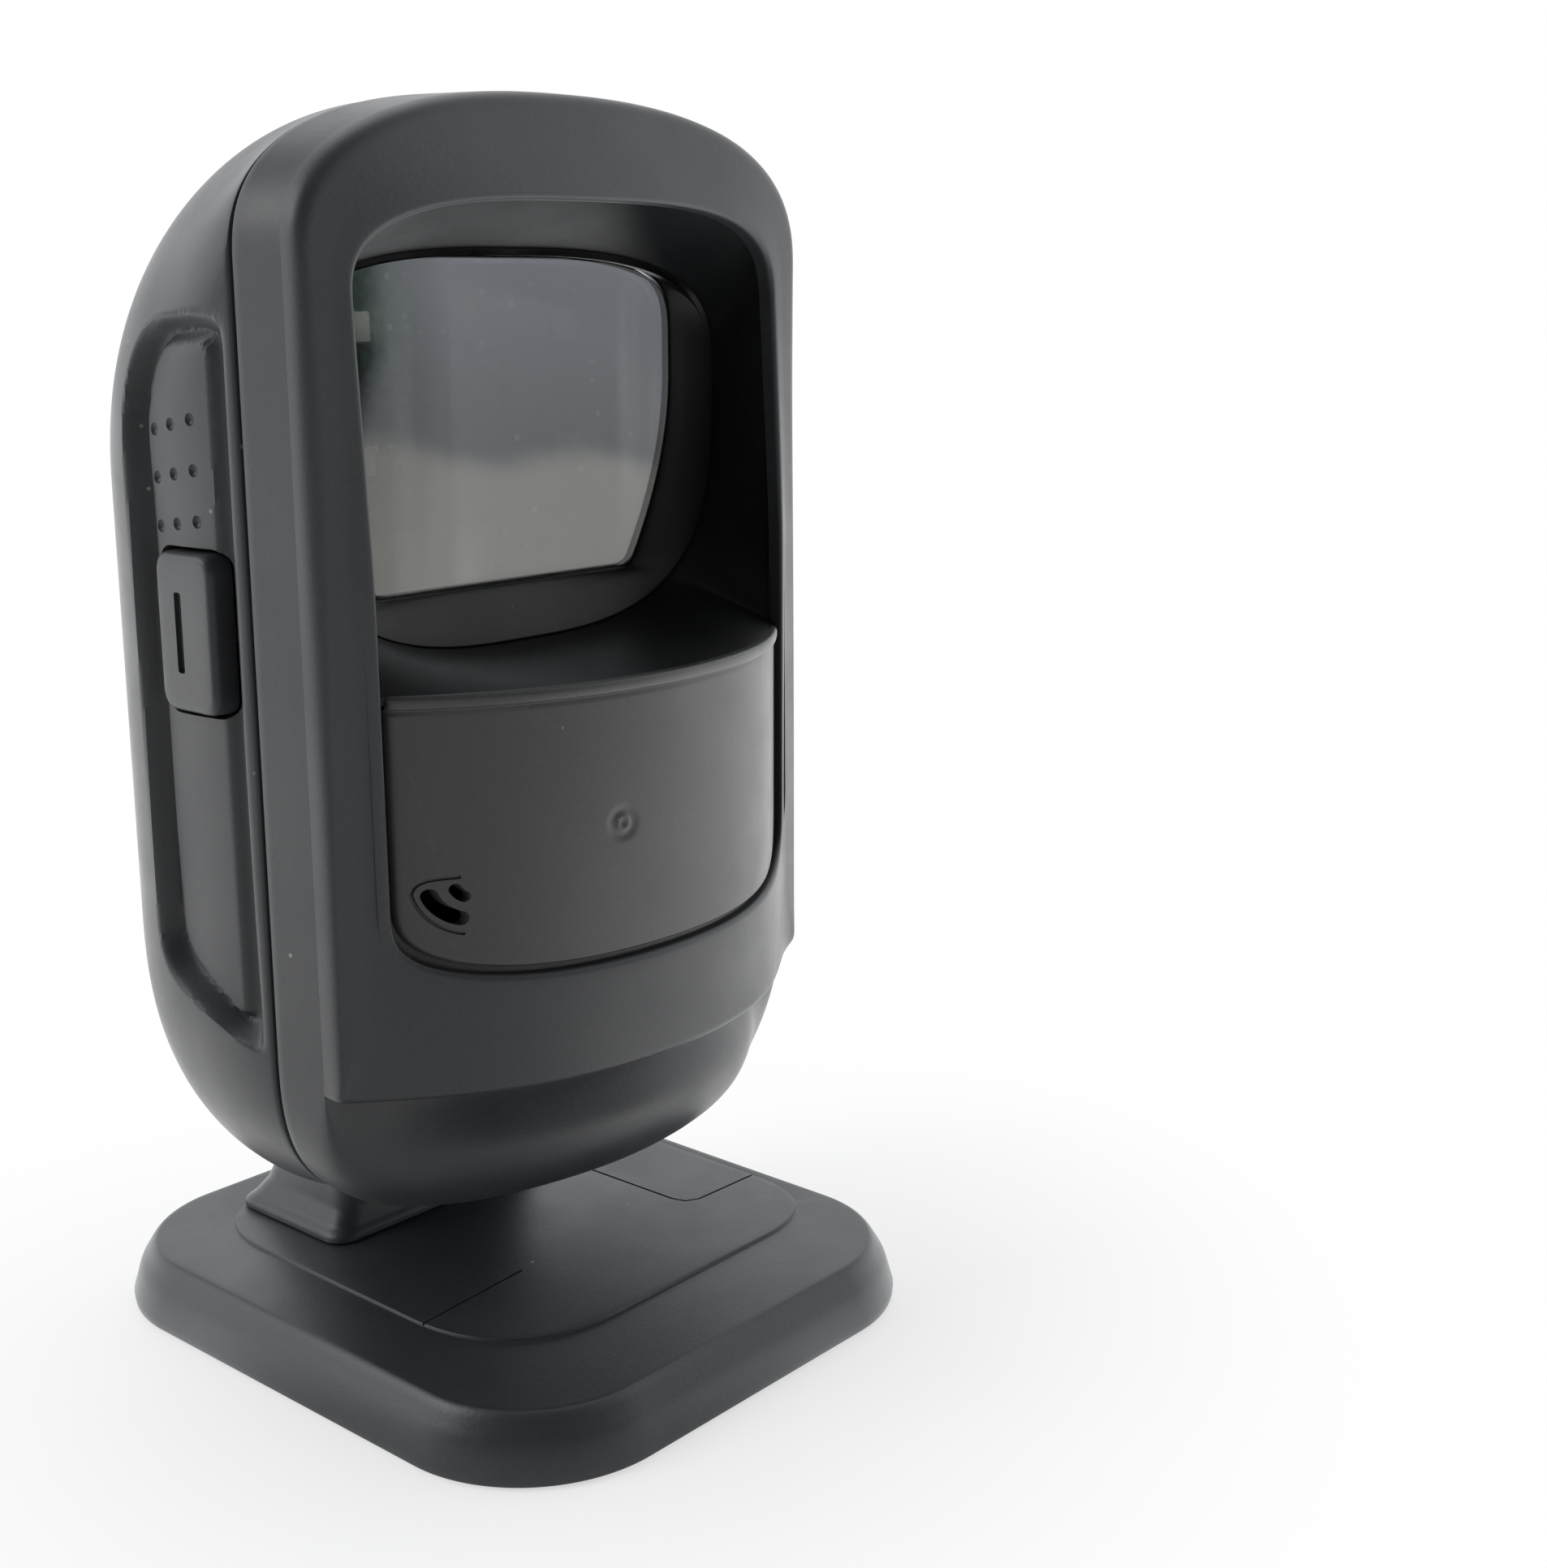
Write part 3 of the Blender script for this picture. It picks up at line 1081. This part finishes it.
def groove(name, path):
    """A cutter for a thin line in the plateau, along an (x, y) path."""
    width, depth, above = 0.34, 0.35, 1
    z0, z1 = FOOT_TOP - depth, FOOT_TOP + above
    path = np.array(path, float)
    left, right = [], []
    for i, point in enumerate(path):
        before, after = path[max(i - 1, 0)], path[min(i + 1, len(path) - 1)]
        ahead = (after - before) / np.linalg.norm(after - before)
        side = np.array([-ahead[1], ahead[0]]) * width / 2
        left.append(point + side)
        right.append(point - side)
    loop = np.array(left + right[::-1])
    rows = np.stack([row(loop[:, 0], loop[:, 1], z) for z in (z0, z1)])
    return surface(name, rows, centre=(*loop.mean(0), (z0 + z1) / 2), cap_ends=(True, True))


def foot_cover():
    base, top = foot_lo[2] - 0.65, FOOT_TOP - 0.5
    plateau_top = FOOT_TOP + 0.02
    stations = [
        # the underside's edge and the flared side
        (foot_ring(1.9, base), 0), (foot_ring(-0.55, base), 0.4),
        (foot_ring(-0.65, base + 1.2), 0), (foot_ring(0.35, base + 4.6), 0.8),
        # the top, up to the plateau's foot
        (foot_ring(2.1, top + 0.22), 1.3), (foot_ring(3.1, top + 0.25), 0),
        (plateau_ring(-0.7, top + 0.2), 0), (plateau_ring(-0.12, top + 0.18), 0.08),
        # the plateau's edge
        (plateau_ring(0.0, FOOT_TOP), 0.16), (plateau_ring(1.2, plateau_top), 0)]
    rows = list(swept(stations, count=7))
    middle = np.array([*PLATEAU_MIDDLE, 0])
    last = rows[-1]
    for scale in (0.85, 0.65, 0.45, 0.25, 0.1, 0.0):
        ring = middle + (last - middle) * scale
        ring[:, 2] = plateau_top
        rows.append(ring)
    obj = surface("foot_cover_moulding", np.stack(rows), centre=(0, 0, 2), sharp=42,
                  cap_ends=(True, False))
    # the hollow underneath: (inset, height)
    hollow = ((2.2, base - 2), (2.2, base + 0.6), (2.0, base + 2.0), (3.2, top - 2.0),
              (5.0, top - 1.5))
    under = np.stack([foot_ring(inset, z, 160) for inset, z in hollow])
    cut(obj, surface("foot_void", under, centre=(0, 0, 3), cap_ends=(True, True)),
        groove("groove_a", [(-24.2, -11.0), (-7.6, -9.7)]),
        groove("groove_b", [(19.0, 6.0), (19.3, -9.4), (19.9, -11.2), (21.6, -12.1),
                            (32.4, -12.4)]),
        sharp=42)
    place(obj, FOOT, "stand", "foot_cover")


def neck():
    base = neck_lo[2] + 2.4
    pivot_radius = 6.8
    top = TILT_Z + 6.75
    profile = np.array([
        # height, half width, front y, rear y
        (base, 18.5, 11.6, 32.5),
        (base + 0.7, 18.4, 11.7, 32.4),
        (base + 1.5, 17.5, 12.3, 31.6),
        (base + 3.5, 16.3, 12.9, 30.2),
        (base + 7.5, 15.6, 13.2, 28.4),
        (base + 13.5, 15.5, 12.5, 26.2),
        (TILT_Z - 6.0, 15.5, 11.3, 24.9),
        (TILT_Z - 3, 15.5, TILT_Y - 6.3, TILT_Y + 6.9),
        (TILT_Z, 15.5, TILT_Y - pivot_radius, TILT_Y + pivot_radius),
        (TILT_Z + 3.0, 15.5, TILT_Y - 6.1, TILT_Y + 6.1),
        (TILT_Z + 5.2, 15.5, TILT_Y - 4.4, TILT_Y + 4.4),
        (top, 15.4, TILT_Y - 0.9, TILT_Y + 0.9)])
    heights = np.concatenate([np.linspace(base, base + 4, 14),
                              np.linspace(base + 4.5, TILT_Z - 3, 22),
                              np.linspace(TILT_Z - 2.5, top, 16)])
    rows = []
    for z in heights:
        half, y0, y1 = (np.interp(z, profile[:, 0], profile[:, column]) for column in (1, 2, 3))
        if z >= TILT_Z - 1.0:
            # round about the tilt pin
            reach = math.sqrt(max(pivot_radius ** 2 - (z - TILT_Z) ** 2, 0.3))
            y0, y1 = TILT_Y - reach, TILT_Y + reach
        radius = min(2.4, (y1 - y0) / 2 * 0.9)
        corners = [(half, y1), (-half, y1), (-half, y0), (half, y0)]
        line = rounded_polygon(corners, [radius * 1.3] * 4)
        rows.append(row(line[:, 0], line[:, 1], z))
    obj = surface("neck_moulding", np.stack(rows), centre=(0, 20, 22), cap_ends=(True, True),
                  sharp=42)
    place(obj, FOOT, "stand", "neck")


front_shell()
rear_shell()
cavity()
window_frame()
scan_window()
lower_panel()
trigger()
foot_cover()
neck()

# ------------------------------------------------------------------ finishes for the frame's parts
FINISH = {
    BOARD: ("imager_board", "main_board", "switch_board"),
    BLACK: ("imager_chassis", "image_sensor", "lens_barrel", "decoder_chip", "cable_jack",
            "switch_body", "speaker_frame", "window_frame"),
    STEEL: ("bottom_plate", "ballast_weight", "neck_screw_left", "neck_screw_right",
            "friction_washer_left", "friction_washer_right", "foot_screw_1", "foot_screw_2",
            "foot_screw_3", "foot_screw_4", "tilt_pin", "tilt_bracket_left",
            "tilt_bracket_right", "shell_screw_1", "shell_screw_2", "shell_screw_3",
            "shell_screw_4", "speaker_magnet"),
    RUBBER: ("rubber_foot_1", "rubber_foot_2", "rubber_foot_3", "rubber_foot_4"),
    LENS: ("objective_lens",),
    PALE: ("illumination_led_1", "illumination_led_2", "illumination_led_3",
           "illumination_led_4"),
    RED: ("aimer_led",),
    FLAT: ("ribbon_cable",),
    GOLD: ("jack_contacts",),
    CONE: ("speaker_cone",),
    IVORY: ("switch_plunger",),
    SHELL: ("front_shell", "rear_shell", "trigger_button", "neck", "foot_cover"),
    PANEL: ("front_insert",),
    GLASS: ("scan_window",),
}
for finish, names in FINISH.items():
    for part_name in names:
        dress(frame["nodes"][part_name], finish)


# ------------------------------------------------------------------ stage, light, camera (metres)
# the floor and the background are dimmer on this side, where the camera is
CAMERA_SIDE = Vector((-0.739, -0.632, 0.232)).normalized()
CARD_HORIZON = 0.103
CARD_END = 0.170


def plane(name, corners, material):
    mesh = bpy.data.meshes.new(name)
    mesh.from_pydata(corners, [], [(0, 1, 2, 3)])
    mesh.materials.append(material)
    return new_object(name, mesh)


def floor_material():
    """A pale matt floor that turns into a white glow away from the object."""
    material, shader = new_material("pale_floor")
    coords = shader.coords()
    tone = shader.mix(shader.noise(coords, scale=3.0, detail=2.0),
                      (0.90, 0.90, 0.90), (0.93, 0.93, 0.93))
    matt = shader.add("BsdfDiffuse", {"Color": tone})
    distance = shader.add("VectorMath", {0: coords}, operation="LENGTH").outputs["Value"]
    # the camera sees a strength of 1; other rays see one that depends on the direction
    toward = shader.dot(shader.unit(coords), (CAMERA_SIDE.x, CAMERA_SIDE.y, 0))
    sides = shader.remap(toward, span=(0.25, 0.88), to=(2.3, 0.80))
    seen = shader.add("LightPath").outputs["Is Camera Ray"]
    unseen = shader.math("SUBTRACT", 1.0, seen)
    power = shader.math("ADD", shader.math("MULTIPLY", seen, 1.0),
                        shader.math("MULTIPLY", unseen, sides))
    glow = shader.add("Emission", {"Strength": power})
    # the glow's share, by distance, for the camera and for other rays
    near = shader.remap(distance, span=(0.05, 0.12), to=(0.62, 1.0))
    lit = shader.remap(distance, span=(0.05, 0.26), to=(0.75, 1.0))
    unseen = shader.math("SUBTRACT", 1.0, seen)
    fade = shader.math("ADD", shader.math("MULTIPLY", near, seen),
                       shader.math("MULTIPLY", lit, unseen))
    shader.show(shader.mix_shader(fade, matt.outputs[0], glow.outputs[0]))
    return material


def card_material():
    """Dark at the card's -X end and foot, else grey above a horizon and lighter below it."""
    material, shader = new_material("window_card")
    coords = shader.coords()
    split = shader.split_xyz(coords)
    x, z = split["X"], split["Z"]
    soft = shader.noise(coords, scale=9.0, detail=3.0)
    wavy = shader.math("ADD", z, shader.math("MULTIPLY", soft, 0.05))
    below = shader.remap(wavy, span=(CARD_HORIZON - 0.004, CARD_HORIZON + 0.006), to=(1.0, 0.0))
    upper = shader.mix(shader.remap(z, span=(0.05, 0.15)),
                       (0.155, 0.155, 0.163), (0.255, 0.262, 0.283))
    colour = shader.mix(below, upper, (0.33, 0.322, 0.302))
    # steep, slightly leaning pale streaks
    streaks = shader.add("Mapping", {"Scale": (120.0, 1.0, 9.0), "Rotation": (0.0, 0.12, 0.0),
                                     "Vector": coords}).outputs[0]
    lines = shader.noise(streaks, scale=1.0, detail=1.0, rough=0.3)
    colour = shader.mix(shader.remap(lines, span=(0.60, 0.72), to=(0.0, 0.13)),
                        colour, (0.9, 0.9, 0.92))
    # the lit part stops at a line that leans near its foot
    slope = shader.remap(z, span=(0.071, 0.100), to=(0.011, 0.0), kind="LINEAR")
    lit = shader.remap(shader.math("SUBTRACT", x, slope), span=(CARD_END, CARD_END + 0.005),
                       to=(1.0, 0.0))
    lit = shader.math("MAXIMUM", lit, shader.remap(z, span=(0.064, 0.070), to=(1.0, 0.0)))
    strength = shader.math("MULTIPLY", lit, 1.0)
    shader.show(shader.add("Emission", {"Color": colour, "Strength": strength}).outputs[0])
    return material


def stage():
    """The floor, and a card in front of the head that only reflections see."""
    size = 8.0
    floor = plane("floor", [(-size, -size, 0), (size, -size, 0), (size, size, 0),
                            (-size, size, 0)], floor_material())
    x0, x1, z0, z1, y = 0.00, 0.34, -0.08, 0.22, -0.40
    card = plane("window_card", [(x0, y, z0), (x1, y, z0), (x1, y, z1), (x0, y, z1)],
                 card_material())
    for kind in ("camera", "diffuse", "shadow", "transmission", "volume_scatter"):
        setattr(card, "visible_" + kind, False)


def world():
    """White to the camera; for other rays dimmer on the camera's side and overhead."""
    studio = bpy.data.worlds.new("studio")
    bpy.context.scene.world = studio
    shader = Shader(studio, "OutputWorld")
    coords = shader.coords("Generated")
    shade = shader.remap(shader.dot(coords, CAMERA_SIDE), span=(-0.05, 0.80), to=(1.0, 0.055))
    high = shader.remap(shader.split_xyz(coords)["Z"], span=(0.30, 0.85), to=(1.0, 0.50))
    strength = shader.math("MULTIPLY", shader.math("MULTIPLY", shade, high), 1.8)
    lamp = shader.add("Background", {"Color": (0.97, 0.985, 1.0), "Strength": strength})
    white = shader.add("Background", {"Color": (1, 1, 1), "Strength": 1.0})
    seen = shader.add("LightPath").outputs["Is Camera Ray"]
    shader.show(shader.mix_shader(seen, lamp.outputs[0], white.outputs[0]))


def area(name, at, target, size, power):
    """A square area light, aimed at a target and hidden from the camera; power in watts."""
    data = bpy.data.lights.new(name, "AREA")
    data.energy = power
    data.size = size
    obj = new_object(name, data)
    obj.location = at
    obj.rotation_mode = "QUATERNION"
    obj.rotation_quaternion = (Vector(target) - Vector(at)).to_track_quat("-Z", "Y")
    obj.visible_camera = False
    return obj


def lights():
    area("top_softbox", at=(0.15, 0.25, 0.75), target=(0, 0, 0.08), size=0.5, power=0.9)
    area("left_softbox", at=(-0.55, 0.32, 0.48), target=(-0.04, 0.0, 0.09), size=0.35, power=2.0)
    # a tiny light behind the window, for the board inside
    board_lo, board_hi = node_box("imager_board")
    at = Vector((-9.0, glass_hi[1] + 1.0, board_hi[2] - 2.0)) * MM
    target = Vector((board_lo[0] + 3.0, board_lo[1], board_lo[2] + 16.0)) * MM
    fill = area("board_fill", at, target, size=0.004, power=0.0012)
    fill.visible_glossy = False


def camera():
    data = bpy.data.cameras.new("camera")
    obj = new_object("camera", data)
    place_x, place_y, place_z = -0.1680, -0.1870, 0.1251
    azimuth, elevation = math.radians(-49.46), math.radians(13.41)
    back = Vector((math.sin(azimuth) * math.cos(elevation),
                   -math.cos(azimuth) * math.cos(elevation), math.sin(elevation)))
    right = Vector((math.cos(azimuth), math.sin(azimuth), 0))
    up = back.cross(right)
    obj.matrix_world = Matrix(((right.x, up.x, back.x, place_x),
                               (right.y, up.y, back.y, place_y),
                               (right.z, up.z, back.z, place_z),
                               (0, 0, 0, 1)))
    data.sensor_width = 36.0
    data.lens = 48.88
    data.clip_start, data.clip_end = 0.01, 50
    bpy.context.scene.camera = obj


stage()
world()
camera()
lights()
bpy.context.scene.view_settings.view_transform = "Standard"
